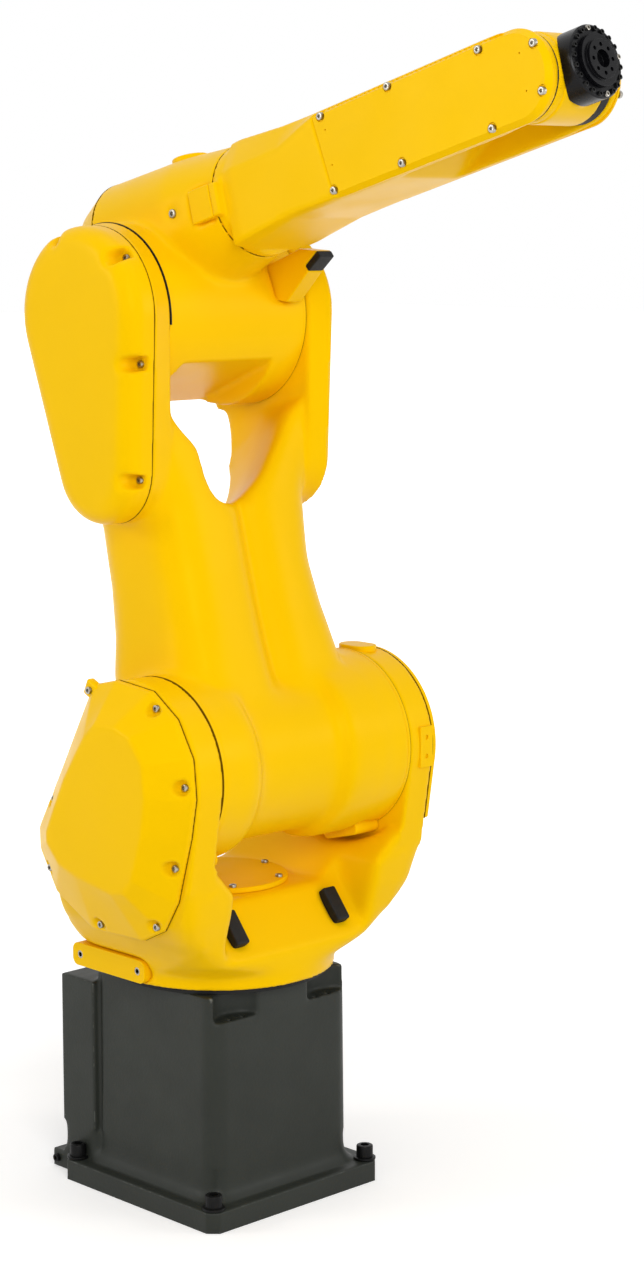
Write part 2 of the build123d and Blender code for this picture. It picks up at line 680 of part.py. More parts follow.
def forearm_outline():
    """The forearm's shaft seen from the side, with its round fork end."""
    shaft = outline([(SHAFT_X, SHAFT_LOW_Z), (FORK_TAPER_X, SHAFT_LOW_Z), (FORK_TAPER_X, SHAFT_HIGH_Z),
                     (SHAFT_X, SHAFT_HIGH_Z)])
    end = Pos(J5_X, J4_RISE) * Circle(FORK_END_RADIUS)
    return make_hull(shaft.edges() + end.edges())


def cover_outline(end_radius):
    """A side cover of the forearm, with its slanted start and round end."""
    shaft = outline([(COVER_START_X + COVER_SLANT / 2, COVER_LOW_Z), (FORK_TAPER_X, COVER_LOW_Z),
                     (FORK_TAPER_X, COVER_HIGH_Z), (COVER_START_X - COVER_SLANT / 2, COVER_HIGH_Z)])
    end = Pos(J5_X, J4_RISE) * Circle(end_radius)
    return make_hull(shaft.edges() + end.edges())


def cover_seat(side, end_radius):
    """The prism of a side cover, with a given round end."""
    inner = SHAFT_HALF_WIDTH - FOREARM_COVER_THICKNESS
    y_low, y_high = sorted((side * inner, side * SHAFT_HALF_WIDTH))
    return side_prism(cover_outline(end_radius), y_low, y_high)


def facet_face(share):
    """A faceted section of the forearm, drawn in y and z."""
    height = SHAFT_HIGH_Z - J4_RISE
    low, foot, top, high = [J4_RISE + value * height for value in share[1:5]]
    under, side, over = [value * SHAFT_HALF_WIDTH for value in share[5:]]
    right = [(-under, low), (-side, foot), (-side, top), (-over, high)]
    left = [(-y, z) for y, z in reversed(right)]
    return outline(right + left)


def forearm_casting():
    start = J4_SEAM_X + RUN_GAP
    collar_end = start + COLLAR_LENGTH
    ring = disc_x(J4_RADIUS, start, collar_end, J4_RISE)
    sections = [front_plane(collar_end + share[0] * (SHAFT_X - collar_end)) * facet_face(share)
                for share in FACET_SHARES]
    shaft = front_prism(facet_face(FACET_SHARES[-1]), SHAFT_X, FAR)
    shaft &= side_prism(forearm_outline(), -FAR, FAR)
    low = J4_RISE - SIDE_BLOCK_HEIGHT / 2
    index = block(start, start + INDEX_LENGTH, -J4_RADIUS - SIDE_BLOCK_DEPTH, 0,
                  low, low + SIDE_BLOCK_HEIGHT)
    body = ring + loft(sections, ruled=True) + shaft + index
    body -= block(FORK_ROOT_X, FAR, -FORK_GAP_HALF, FORK_GAP_HALF, -FAR, FAR)
    ramp = outline([(FORK_ROOT_X - RAMP_LENGTH, SHAFT_LOW_Z), (FORK_ROOT_X, SHAFT_LOW_Z),
                    (FORK_ROOT_X, SHAFT_LOW_Z + RAMP_DEPTH)])
    body -= side_prism(ramp, -FORK_GAP_HALF, FORK_GAP_HALF)
    seat_end = FORK_END_RADIUS + RUN_GAP
    return body - cover_seat(-1, seat_end) - cover_seat(1, seat_end)


def forearm_cover(side):
    cover = cover_seat(side, FORK_END_RADIUS)
    faces = cover.faces().sort_by(Axis.Y)
    face = faces[0] if side < 0 else faces[-1]
    return chamfer(face.edges().filter_by(GeomType.CIRCLE), COVER_END_CHAMFER)


# Wrist

def wrist_knuckle():
    half = FORK_GAP_HALF - RUN_GAP - WRIST_SEAL_THICKNESS
    barrel = disc_y(KNUCKLE_RADIUS, -half, half, J5_X, J4_RISE)
    return barrel + disc_x(NECK_RADIUS, J5_X, HOUSING_X, J4_RISE)


def wrist_seal(side):
    high = FORK_GAP_HALF - RUN_GAP
    low = high - WRIST_SEAL_THICKNESS
    y_low, y_high = sorted((side * low, side * high))
    ring = disc_y(WRIST_SEAL_RADIUS, y_low, y_high, J5_X, J4_RISE)
    return ring - disc_x(NECK_RADIUS, J5_X, HOUSING_X, J4_RISE)


def wrist_housing():
    body = disc_x(HOUSING_RADIUS, HOUSING_X, HOUSING_END_X, J4_RISE)
    body = chamfer(body.edges().filter_by(GeomType.CIRCLE), HOUSING_EDGE)
    return body - disc_y(KNUCKLE_RADIUS, -FORK_GAP_HALF, FORK_GAP_HALF, J5_X, J4_RISE)


def tool_flange():
    start = HOUSING_END_X + RUN_GAP
    body = disc_x(FLANGE_SHOULDER_RADIUS, start, start + FLANGE_SHOULDER_LENGTH, J4_RISE)
    body += disc_x(FLANGE_RADIUS, start, FLANGE_X, J4_RISE)
    body -= disc_x(FLANGE_BORE / 2, FLANGE_X - FLANGE_BORE_DEPTH, FLANGE_X + FLANGE_BORE, J4_RISE)
    for step in range(FLANGE_BOLT_COUNT):
        turn = math.radians(360 * step / FLANGE_BOLT_COUNT)
        y = FLANGE_BOLT_CIRCLE / 2 * math.cos(turn)
        z = J4_RISE + FLANGE_BOLT_CIRCLE / 2 * math.sin(turn)
        hole = disc_x(FLANGE_BOLT_HOLE / 2, FLANGE_X - FLANGE_HOLE_DEPTH, FLANGE_X + FLANGE_BORE, z)
        body -= Pos(0, y, 0) * hole
    return body


def save(name, shape):
    """Write one node to its own file."""
    export_step(shape, os.path.join(OUT, name + ".step"))


save("base_casting", base_casting())
save("base_rear_panel", base_rear_panel())
save("base_seal", base_seal())
save("turntable_column", turntable_column())
save("side_lug", side_lug())
save("shoulder_motor_cover", shoulder_motor_cover())
save("shoulder_gear_cover", shoulder_gear_cover())
save("turntable_cap", turntable_cap())
save("turntable_back", turntable_back())
save("front_bumper_right", front_bumper(-1))
save("front_bumper_left", front_bumper(1))
save("shoulder_pad", shoulder_pad())
save("shoulder_boss", shoulder_boss())
save("lower_arm_casting", place_arm(lower_arm_casting()))
save("arm_stop_right", place_arm(arm_stop(-1)))
save("arm_stop_left", place_arm(arm_stop(1)))
save("arm_boss", place_arm(arm_boss()))
save("elbow_motor_cover", place_arm(elbow_motor_cover()))
save("elbow_gear_cover", place_arm(elbow_gear_cover()))
save("elbow_casting", place_forearm(elbow_casting()))
save("elbow_rear_cover", place_forearm(elbow_rear_cover()))
save("elbow_side_block", place_forearm(elbow_side_block()))
save("elbow_bracket", place_forearm(elbow_bracket()))
save("elbow_bumper", place_forearm(elbow_bumper()))
save("forearm_casting", place_forearm(forearm_casting()))
save("forearm_cover_right", place_forearm(forearm_cover(-1)))
save("forearm_cover_left", place_forearm(forearm_cover(1)))
save("wrist_knuckle", place_forearm(wrist_knuckle()))
save("wrist_seal_right", place_forearm(wrist_seal(-1)))
save("wrist_seal_left", place_forearm(wrist_seal(1)))
save("wrist_housing", place_forearm(wrist_housing()))
save("tool_flange", place_forearm(tool_flange()))
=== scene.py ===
"""Dresses a packed six-axis robot arm: cast skins, covers, screws, rubber parts and a plain studio."""

import json
import math

import bmesh
import bpy
from mathutils import Matrix, Vector


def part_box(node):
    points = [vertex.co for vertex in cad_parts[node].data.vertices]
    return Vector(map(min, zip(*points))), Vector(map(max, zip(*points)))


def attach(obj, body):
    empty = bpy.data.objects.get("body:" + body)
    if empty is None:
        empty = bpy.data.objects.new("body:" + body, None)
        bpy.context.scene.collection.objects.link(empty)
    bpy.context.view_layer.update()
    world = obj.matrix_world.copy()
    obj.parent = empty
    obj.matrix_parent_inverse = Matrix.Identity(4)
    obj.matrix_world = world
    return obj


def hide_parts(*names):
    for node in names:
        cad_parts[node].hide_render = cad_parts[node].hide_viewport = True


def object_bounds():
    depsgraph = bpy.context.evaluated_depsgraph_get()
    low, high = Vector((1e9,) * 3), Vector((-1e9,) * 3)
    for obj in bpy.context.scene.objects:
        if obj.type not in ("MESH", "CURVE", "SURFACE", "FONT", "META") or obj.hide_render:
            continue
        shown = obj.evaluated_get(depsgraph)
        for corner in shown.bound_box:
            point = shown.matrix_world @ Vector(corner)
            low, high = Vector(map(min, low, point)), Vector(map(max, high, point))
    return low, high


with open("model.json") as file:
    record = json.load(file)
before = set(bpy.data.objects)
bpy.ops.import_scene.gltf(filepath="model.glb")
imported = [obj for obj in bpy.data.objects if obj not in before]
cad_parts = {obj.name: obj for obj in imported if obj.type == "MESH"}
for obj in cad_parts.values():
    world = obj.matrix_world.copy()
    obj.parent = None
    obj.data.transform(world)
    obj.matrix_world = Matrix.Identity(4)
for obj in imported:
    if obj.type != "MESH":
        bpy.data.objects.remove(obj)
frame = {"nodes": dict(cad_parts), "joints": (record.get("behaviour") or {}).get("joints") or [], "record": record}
CAD_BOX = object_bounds()

bl_info = {
    "name": "Robot Arm Dresser",
    "version": (1, 0, 0),
    "blender": (4, 5, 0),
    "location": "View3D > Sidebar > Robot Arm",
    "description": "Builds the painted castings, covers, screws and studio round a packed robot arm",
    "category": "Object",
}

MM = 0.001
X, Y, Z = range(3)
LEFT = Vector((0, 1, 0))
RIGHT = Vector((0, -1, 0))
UP = Vector((0, 0, 1))
BACK = Vector((-1, 0, 0))
JOINTS = {joint["name"]: joint for joint in frame["joints"]}
SHOULDER_AXIS = Vector(JOINTS["axis_2_lower_arm"]["pos_m"])
ELBOW_AXIS = Vector(JOINTS["axis_3_elbow"]["pos_m"])
ROLL_POINT = Vector(JOINTS["axis_4_forearm_roll"]["pos_m"])
FLANGE_POINT = Vector(JOINTS["axis_6_flange_roll"]["pos_m"])


def frame_at(origin, along, up):
    """A right-handed frame with x along one way and z near another."""
    x = along.normalized()
    y = up.cross(x).normalized()
    z = x.cross(y)
    return Matrix.Translation(origin) @ Matrix((x, y, z)).transposed().to_4x4()


ARM_UP = (ELBOW_AXIS - SHOULDER_AXIS).normalized()
ARM = frame_at(SHOULDER_AXIS, LEFT.cross(ARM_UP), ARM_UP)
FOREARM = frame_at(ELBOW_AXIS, Vector(JOINTS["axis_4_forearm_roll"]["axis"]), UP)
SHOULDER = Matrix.Translation(SHOULDER_AXIS)
WORLD = Matrix.Identity(4)
FOREARM_BACK = FOREARM.inverted()
ROLL = FOREARM_BACK @ ROLL_POINT
FLANGE = FOREARM_BACK @ FLANGE_POINT

# Fits and roundings that several pieces share, in metres

RUNNING_GAP = 0.0005
SUNK = 0.0005
SEAM_REACH = 0.005
RIM_REACH = 0.004
COVER_EDGE = 0.0025
BLOCK_EDGE = 0.002

# Places read from the photograph, in millimetres in each piece's own side view

FOREARM_SCREWS = ((414, 162), (538, 163), (695, 160), (781, 141), (414, 65), (539, 65), (694, 63), (781, 83))
FOREARM_PINS = ((418, 143), (419, 97), (757, 136), (757, 90))
ELBOW_COVER_SCREWS = ((120, 677), (111, 535.5), (68.5, 387), (13, 728))
ELBOW_COVER_SPINE = ((28, 621.6), (8, 418))
ELBOW_GEAR_SCREWS = ((123, 656), (63, 717), (-22, 709), (-71, 639), (98, 520), (-63, 520), (61, 388),
                     (8, 357), (-45, 388))
SHOULDER_COVER_SCREWS = ((60.5, 100.7), (116, 3), (95.5, -108.5), (57, -195), (-59, -213), (-156, -53),
                         (-167, -152))
SHOULDER_EAR = (-74, 109)
SHOULDER_GEAR_SCREWS = ((-98, 62), (0, 116), (98, 62), (110, -40), (60, -94), (-60, -94), (-110, -40))
TRUNK_SCREW = (118, 115)


def length(name, description, default):
    """A length that a user can change."""
    return bpy.props.FloatProperty(name=name, description=description, default=default, unit="LENGTH")


def colour(name, description, default):
    """A colour that a user can change."""
    return bpy.props.FloatVectorProperty(name=name, description=description, subtype="COLOR", size=3,
                                         default=default)


class RobotSizes(bpy.types.PropertyGroup):
    """Sizes of the fittings that are added to the castings."""

    base_voxel: length("Pedestal detail", "Grain of the pedestal's skin", 0.0026)
    arm_voxel: length("Lower arm detail", "Grain of the lower arm's skin", 0.0037)
    cast_voxel: length("Cast detail", "Grain of the turntable's and elbow's skins", 0.0032)
    cover_voxel: length("Cover detail", "Grain of the deep covers' and forearm's skins", 0.0022)
    fine_voxel: length("Wrist detail", "Grain of the wrist's skin", 0.0016)
    screw_head: length("Screw head", "Radius of a cover screw's head", 0.0050)
    screw_height: length("Screw height", "Height of a cover screw's head", 0.0048)
    pocket: length("Screw pocket", "Radius of the pocket round a cover screw", 0.0105)
    bolt_head: length("Floor bolt head", "Radius of a floor bolt's head", 0.0120)
    bolt_height: length("Floor bolt height", "Height of a floor bolt's head", 0.0175)
    washer: length("Washer", "Radius of a floor bolt's washer", 0.0160)
    edge: length("Edge", "Rounding of machined edges", 0.0012)
    # The seal lip is a ring of painted shade at a turning seam; this is its width.
    seal: length("Seal lip", "Width of the dark lip at a turning seam", 0.0006)


class RobotPaints(bpy.types.PropertyGroup):
    """Colours of the finishes."""

    yellow: colour("Yellow paint", "Paint of the arm", (0.95, 0.565, 0.0005))
    grey: colour("Grey paint", "Paint of the pedestal", (0.022, 0.025, 0.020))
    rubber: colour("Rubber", "Bumpers and seals", (0.006, 0.006, 0.006))
    anodised: colour("Black finish", "Wrist housing and tool flange", (0.004, 0.004, 0.005))
    zinc: colour("Zinc", "Cover screws and threaded sleeves", (0.34, 0.32, 0.28))
    black_steel: colour("Black steel", "Floor bolts, washers and wrist screws", (0.005, 0.005, 0.005))
    # The seam colour is painted shade: the dark amber that yellow paint shows in a seam's shade, laid on the seam
    # lines.
    seam: colour("Seam", "Paint in the shade of a seam", (0.20, 0.105, 0.002))


def sizes():
    """The sizes that the scene holds."""
    return bpy.context.scene.robot_sizes


def paints():
    """The colours that the scene holds."""
    return bpy.context.scene.robot_paints


# Finishes


def set_inputs(node, values):
    """Give a shader node's inputs their values by name."""
    for name, value in values.items():
        node.inputs[name].default_value = value


def grain(nodes, links, scale, detail, low, high):
    """Noise on Object coordinates, spread between two values."""
    where = nodes.new("ShaderNodeTexCoord")
    noise = nodes.new("ShaderNodeTexNoise")
    set_inputs(noise, {"Scale": scale, "Detail": detail})
    spread = nodes.new("ShaderNodeMapRange")
    set_inputs(spread, {"From Min": 0.3, "From Max": 0.7, "To Min": low, "To Max": high})
    links.new(where.outputs["Object"], noise.inputs["Vector"])
    links.new(noise.outputs["Fac"], spread.inputs["Value"])
    return spread.outputs["Result"]


def finish(name, paint, rough, variation, grain_scale, bump_scale, bump, metallic=0.0, gloss=0.5, tint=None,
           chips=None):
    """A procedural finish: colour and gloss vary gently and a fine bump roughens the surface."""
    material = bpy.data.materials.get(name)
    if material:
        return material
    material = bpy.data.materials.new(name)
    material.use_nodes = True
    nodes, links = material.node_tree.nodes, material.node_tree.links
    shader = nodes["Principled BSDF"]
    set_inputs(shader, {"Metallic": metallic, "Specular IOR Level": gloss})
    if tint:
        set_inputs(shader, {"Specular Tint": (*tint, 1)})
    shade = nodes.new("ShaderNodeMix")
    shade.data_type = "RGBA"
    dark = [c * (1 - variation) for c in paint]
    light = [min(1, c * (1 + variation)) for c in paint]
    set_inputs(shade, {"A": (*dark, 1), "B": (*light, 1)})
    links.new(grain(nodes, links, grain_scale, detail=6, low=0, high=1), shade.inputs["Factor"])
    tone = shade.outputs["Result"]
    if chips:
        tone = chipped(nodes, links, tone, chips)
    links.new(tone, shader.inputs["Base Color"])
    swing = 0.05
    dulled = grain(nodes, links, grain_scale * 3, detail=4, low=rough - swing, high=rough + swing)
    links.new(dulled, shader.inputs["Roughness"])
    relief = nodes.new("ShaderNodeBump")
    set_inputs(relief, {"Strength": bump, "Distance": 0.0006})
    links.new(grain(nodes, links, bump_scale, detail=3, low=0, high=1), relief.inputs["Height"])
    links.new(relief.outputs["Normal"], shader.inputs["Normal"])
    return material


def chipped(nodes, links, tone, bare):
    """Paint that has chipped to bare metal in small spots along proud edges."""
    shape = nodes.new("ShaderNodeNewGeometry")
    edge = nodes.new("ShaderNodeMapRange")
    set_inputs(edge, {"From Min": 0.53, "From Max": 0.60})
    links.new(shape.outputs["Pointiness"], edge.inputs["Value"])
    spots = grain(nodes, links, 90, detail=8, low=-1.6, high=1.4)
    both = nodes.new("ShaderNodeMath")
    both.operation = "MULTIPLY"
    both.use_clamp = True
    links.new(edge.outputs["Result"], both.inputs[0])
    links.new(spots, both.inputs[1])
    mix = nodes.new("ShaderNodeMix")
    mix.data_type = "RGBA"
    set_inputs(mix, {"B": (*bare, 1)})
    links.new(both.outputs["Value"], mix.inputs["Factor"])
    links.new(tone, mix.inputs["A"])
    return mix.outputs["Result"]


def yellow_paint():
    """The arm's glossy paint."""
    return finish("glossy_yellow", paints().yellow, rough=0.36, variation=0.02, grain_scale=5,
                  bump_scale=260, bump=0.03, gloss=0.14, tint=(1, 0.6, 0.05))


def deck_paint():
    """The same paint on the deck's cap, where it is dull."""
    return finish("deck_paint", paints().yellow, rough=0.55, variation=0.04, grain_scale=7, bump_scale=260,
                  bump=0.05, gloss=0.02)


def grey_paint():
    """The pedestal's paint, chipped at its edges."""
    return finish("grey_paint", paints().grey, rough=0.46, variation=0.12, grain_scale=9, bump_scale=240,
                  bump=0.16, gloss=0.22, chips=(0.24, 0.25, 0.23))


def panel_paint():
    """The pedestal's paint without chips."""
    return finish("panel_paint", paints().grey, rough=0.46, variation=0.12, grain_scale=9, bump_scale=240,
                  bump=0.16, gloss=0.22)


def black_rubber():
    """Dull rubber of bumpers and seals."""
    return finish("dull_rubber", paints().rubber, rough=0.62, variation=0.20, grain_scale=30, bump_scale=500,
                  bump=0.20, gloss=0.25)


def seam_shade_paint():
    """Yellow paint in the shade of a seam: painted shade for the seam lines."""
    return finish("seam_shade_paint", paints().seam, rough=0.55, variation=0.10, grain_scale=40, bump_scale=400,
                  bump=0.05, gloss=0.05)


def black_finish():
    """The black finish of the wrist's housing and the tool flange."""
    return finish("black_finish", paints().anodised, rough=0.26, variation=0.15, grain_scale=22,
                  bump_scale=420, bump=0.04, gloss=0.14)


def zinc_plate():
    """The bright plating of cover screws and threaded sleeves."""
    return finish("zinc_plate", paints().zinc, rough=0.30, variation=0.15, grain_scale=160, bump_scale=700,
                  bump=0.06, metallic=1.0)


def black_steel():
    """The blackened steel of floor bolts, washers and wrist screws."""
    return finish("black_steel", paints().black_steel, rough=0.34, variation=0.20, grain_scale=60,
                  bump_scale=500, bump=0.08, gloss=0.14)


# Mesh helpers


def object_of(name, bm):
    """An object of a bmesh, in the scene. The bmesh is freed."""
    mesh = bpy.data.meshes.new(name)
    bm.to_mesh(mesh)
    bm.free()
    piece = bpy.data.objects.new(name, mesh)
    bpy.context.scene.collection.objects.link(piece)
    return piece


def discard(piece):
    """Remove a temporary object and its mesh."""
    mesh = piece.data
    bpy.data.objects.remove(piece)
    bpy.data.meshes.remove(mesh)


def new_piece(name, bm, body, material, smooth=35):
    """A piece of a bmesh, in the row frame, with its finish, its shading and the body that it rides on."""
    piece = object_of(name, bm)
    mesh = piece.data
    mesh.materials.append(material)
    mesh.polygons.foreach_set("use_smooth", [True] * len(mesh.polygons))
    mesh.polygons.foreach_set("material_index", [0] * len(mesh.polygons))
    mesh.set_sharp_from_angle(angle=math.radians(smooth))
    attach(piece, body)
    return piece


def joined(shapes):
    """One bmesh that holds several. The shapes are freed."""
    whole = bmesh.new()
    for shape in shapes:
        mesh = bpy.data.meshes.new("shape")
        shape.to_mesh(mesh)
        shape.free()
        whole.from_mesh(mesh)
        bpy.data.meshes.remove(mesh)
    return whole


def node_copy(node):
    """A merged copy of a CAD node's mesh."""
    bm = bmesh.new()
    bm.from_mesh(frame["nodes"][node].data)
    bmesh.ops.remove_doubles(bm, verts=bm.verts, dist=0.00001)
    bmesh.ops.dissolve_degenerate(bm, dist=0.000005, edges=bm.edges)
    return bm


def baked(piece):
    """The piece's mesh with its modifiers applied, as a bmesh. The piece is removed."""
    bpy.context.view_layer.update()
    whole = piece.evaluated_get(bpy.context.evaluated_depsgraph_get())
    bm = bmesh.new()
    bm.from_mesh(whole.to_mesh())
    whole.to_mesh_clear()
    discard(piece)
    return bm


def cut_away(bm, cutters):
    """Take closed cutter shapes out of a closed bmesh."""
    if not cutters:
        return bm
    body = object_of("cut_body", bm)
    knife = object_of("cut_tool", joined(cutters))
    change = body.modifiers.new("cut", "BOOLEAN")
    change.operation = "DIFFERENCE"
    change.solver = "EXACT"
    change.use_self = True
    change.object = knife
    out = baked(body)
    discard(knife)
    return out


def remeshed(bm, voxel):
    """An even skin over a closed bmesh."""
    body = object_of("skin", bm)
    change = body.modifiers.new("skin", "REMESH")
    change.mode = "VOXEL"
    change.voxel_size = voxel
    change.adaptivity = 0
    return baked(body)


def soften(bm, times, held=None):
    """Round a skin's edges, apart from the points that a test holds."""
    points = [v for v in bm.verts if not (held and held(v.co))]
    for _ in range(times):
        bmesh.ops.smooth_vert(bm, verts=points, factor=0.5, use_axis_x=True, use_axis_y=True,
                              use_axis_z=True)


def round_edges(bm, edges, width, segments=2, clamp=False):
    """Bevel edges to a round."""
    bmesh.ops.bevel(bm, geom=edges, offset=width, offset_type="OFFSET", affect="EDGES", segments=segments,
                    profile=0.5, material=-1, clamp_overlap=clamp)


def cast_skin(node, body, material, voxel, rounds, cutters=()):
    """A cast skin over a CAD node: rounds lists how often to soften, and which points are held."""
    bm = remeshed(cut_away(node_copy(node), cutters), voxel)
    for times, held in rounds:
        soften(bm, times, held)
    piece = new_piece(node + "_skin", bm, body, material, smooth=180)
    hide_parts(node)
    return piece


def trim_piece(node, body, material, width, cutters=(), segments=2, grown=None):
    """A machined piece from a CAD node, with its sharp edges rounded.

    Grown is a space and a scale to stretch the piece by.
    """
    flat, crease = math.radians(0.5), math.radians(28)
    bm = node_copy(node)
    if grown:
        space, scale = grown
        bmesh.ops.scale(bm, vec=scale, verts=bm.verts, space=space)
    bm = cut_away(bm, cutters)
    bmesh.ops.dissolve_limit(bm, angle_limit=flat, verts=bm.verts, edges=bm.edges)
    sharp = [e for e in bm.edges if len(e.link_faces) == 2 and e.calc_face_angle(0) > crease]
    round_edges(bm, sharp, width, segments, clamp=True)
    piece = new_piece(node + "_piece", bm, body, material, smooth=40)
    shading = piece.modifiers.new("shading", "WEIGHTED_NORMAL")
    shading.keep_sharp = True
    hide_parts(node)
    return piece


def turned_to(place, axis):
    """A frame at a place with z along an axis."""
    return Matrix.Translation(place) @ axis.to_track_quat("Z", "Y").to_matrix().to_4x4()


def rod(place, axis, radius, low, high, sides=28):
    """A closed cylinder along an axis, between two distances from a place."""
    bm = bmesh.new()
    matrix = turned_to(place, axis) @ Matrix.Translation((0, 0, (low + high) / 2))
    bmesh.ops.create_cone(bm, cap_ends=True, segments=sides, radius1=radius, radius2=radius,
                          depth=high - low, matrix=matrix)
    return bm


def disc(place, axis, radius, low, high, sides, edge, segments=2):
    """A closed cylinder whose rims are rounded."""
    rim_angle = 1
    bm = rod(place, axis, radius, low, high, sides)
    rims = [e for e in bm.edges if e.calc_face_angle(0) > rim_angle]
    round_edges(bm, rims, edge, segments)
    return bm


def looped(bm, points):
    """A closed loop through points, as geometry to spin."""
    corners = [bm.verts.new(point) for point in points]
    edges = [bm.edges.new(pair) for pair in zip(corners, corners[1:] + corners[:1])]
    return corners + edges


def ring(place, axis, inner, outer, low, high):
    """A closed ring round an axis, between two distances from a place."""
    bm = bmesh.new()
    matrix = turned_to(place, axis)
    section = ((inner, low), (outer, low), (outer, high), (inner, high))
    geom = looped(bm, [matrix @ Vector((r, 0, z)) for r, z in section])
    bmesh.ops.spin(bm, geom=geom, cent=place, axis=axis, angle=math.tau, steps=120, use_merge=True)
    bmesh.ops.recalc_face_normals(bm, faces=bm.faces)
    return bm


def seam_shade_lip(name, body, place, axis, radius):
    """A thin dark ring of painted shade and a yellow painted band at a turning seam, just proud of the drum that
    they sit in.
    """
    proud, deep, band = 0.0001, 0.006, 0.0045
    painted = ring(place, axis, radius - deep, radius + proud, -band, 0)
    new_piece(name + "_band", painted, body, yellow_paint())
    # The lip ring is painted shade: seam shade colour laid where the turning seam's gap is in shade.
    lip = ring(place, axis, radius - deep, radius + proud, 0, sizes().seal)
    new_piece(name, lip, body, seam_shade_paint())


def cover_seam_shade(node, body, point, out):
    """A thin sheet in the seam shade colour, which shows as a dark line of painted shade where a cover meets its
    casting.
    """
    thick, proud = 0.0005, 1.0012
    bm = node_copy(node)
    parts = list(bm.verts) + list(bm.edges) + list(bm.faces)
    bmesh.ops.bisect_plane(bm, geom=parts, dist=0.000001, plane_co=point + out * thick, plane_no=out,
                           clear_outer=True)
    bmesh.ops.holes_fill(bm, edges=[e for e in bm.edges if e.is_boundary])
    middle = sum((v.co for v in bm.verts), Vector()) / len(bm.verts)
    for v in bm.verts:
        away = v.co - middle
        along = out * away.dot(out)
        v.co = middle + along + (away - along) * proud
    bmesh.ops.recalc_face_normals(bm, faces=bm.faces)
    # Painted shade: the sheet stands for the shade in the gap between cover and casting.
    new_piece(node + "_seam_shade_sheet", bm, body, seam_shade_paint())


def screw(place, axis, head, height, knurl=0):
    """A socket-head screw standing on a place. A knurled head has a ribbed side."""
    rim, land, socket, depth = head * 0.14, head * 0.30, head * 0.50, height * 0.55
    sides = 48 if knurl else 24
    cap_sides = 8

    def rise(face):
        return (face.calc_center_median() - place).dot(axis)

    bm = rod(place, axis, head, 0, height, sides)
    if knurl:
        back = turned_to(place, axis).inverted()
        for v in bm.verts:
            local = back @ v.co
            if round(math.atan2(local.y, local.x) / math.tau * sides) % 2:
                v.co += (place + axis * local.z - v.co) * knurl
    round_edges(bm, list(max(bm.faces, key=rise).edges), rim)
    top = max((f for f in bm.faces if len(f.verts) > cap_sides), key=rise)
    bmesh.ops.inset_individual(bm, faces=[top], thickness=land, depth=0)
    flat = turned_to(top.calc_center_median(), axis)
    back = flat.inverted()
    for v in top.verts:
        local = back @ v.co
        turn = math.atan2(local.y, local.x)
        side = socket / math.cos((turn % (math.pi / 3)) - math.pi / 6)
        v.co = flat @ Vector((side * math.cos(turn), side * math.sin(turn), 0))
    deep = bmesh.ops.extrude_face_region(bm, geom=[top])
    bmesh.ops.delete(bm, geom=[top], context="FACES_ONLY")
    bmesh.ops.translate(bm, verts=[v for v in deep["geom"] if isinstance(v, bmesh.types.BMVert)],
                        vec=-axis * depth)
    return bm


def screw_set(name, body, places, head=None, height=None, material=None, knurl=0):
    """A set of like screws as one piece. Places are pairs of a point and the way the head faces."""
    head, height = head or sizes().screw_head, height or sizes().screw_height
    bm = joined([screw(place, axis, head, height, knurl) for place, axis in places])
    bmesh.ops.recalc_face_normals(bm, faces=bm.faces)
    new_piece(name, bm, body, material or zinc_plate())


def points_on(matrix, side, pairs):
    """Points of a side view, carried into the row frame. Pairs are x and z in millimetres."""
    return [matrix @ Vector((x * MM, side * MM, z * MM)) for x, z in pairs]


def moved_to(y, points):
    """Points moved across to one distance from the middle plane."""
    return [Vector((p.x, y, p.z)) for p in points]


def axis_on(matrix, way):
    """A way in a frame, carried into the row frame."""
    return (matrix.to_3x3() @ Vector(way)).normalized()


def near_plane(back, axis, values, reach):
    """A test for points near one of several planes across a frame's axis."""
    def held(co):
        value = (back @ co)[axis]
        return any(abs(value - v) < reach for v in values)
    return held


def any_of(*tests):
    """A test that holds where any of several does."""
    def held(co):
        return any(test(co) for test in tests)
    return held


# Pieces


